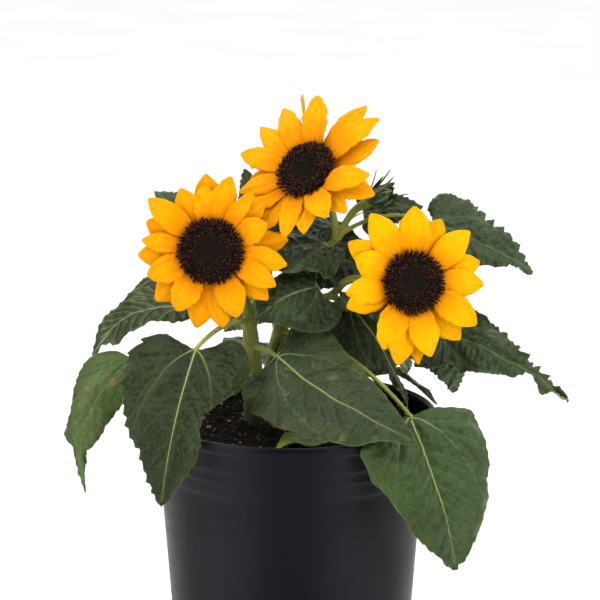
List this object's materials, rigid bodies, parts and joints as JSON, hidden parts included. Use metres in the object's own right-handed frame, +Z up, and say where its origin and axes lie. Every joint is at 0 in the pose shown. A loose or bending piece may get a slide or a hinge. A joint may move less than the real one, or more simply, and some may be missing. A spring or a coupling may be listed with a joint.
{
  "type": "potted sunflower plant",
  "caption": "Dwarf sunflower plant with broad heart-shaped leaves and open blooms on branching stems, growing in a round tapered nursery pot.",
  "frame": {"origin": "centre of the pot's flat underside", "axes": "+Z straight up along the pot's axis; the blooms face -Y; +X to the right of someone facing them"},
  "size_m": [0.2815, 0.2152, 0.3427],
  "materials": {
    "pot": "satin",
    "soil": "matte",
    "stem": "matte",
    "leaf": "matte",
    "bloom": "matte",
    "bud": "matte"
  },
  "bodies": {
    "root": {"nursery_pot": "pot", "soil": "soil", "main_stem": "stem", "left_bough": "stem", "right_bough": "stem", "back_stem": "stem", "right_bloom_bough": "stem", "top_bloom_bough": "stem", "bud_bough": "stem", "leaf_back": "leaf", "leaf_back_left": "leaf", "leaf_back_right": "leaf", "leaf_back_upper": "leaf", "leaf_back_upper_left": "leaf", "leaf_back_upper_right": "leaf", "leaf_behind_left_bloom": "leaf", "leaf_behind_stem": "leaf", "leaf_behind_top": "leaf", "leaf_by_bud": "leaf", "leaf_centre_dark": "leaf", "leaf_centre_folded": "leaf", "leaf_centre_front": "leaf", "leaf_centre_small": "leaf", "leaf_centre_tiny": "leaf", "leaf_left_front": "leaf", "leaf_left_outer": "leaf", "leaf_left_small": "leaf", "leaf_left_upper": "leaf", "leaf_on_soil": "leaf", "leaf_right_curled": "leaf", "leaf_right_front": "leaf", "leaf_right_outer": "leaf", "leaf_right_rim": "leaf", "leaf_right_upper": "leaf", "leaf_under_right_bloom": "leaf", "bloom_left": "bloom", "bloom_right": "bloom", "bloom_top": "bloom", "bud_top": "bud"}
  },
  "joints": []
}
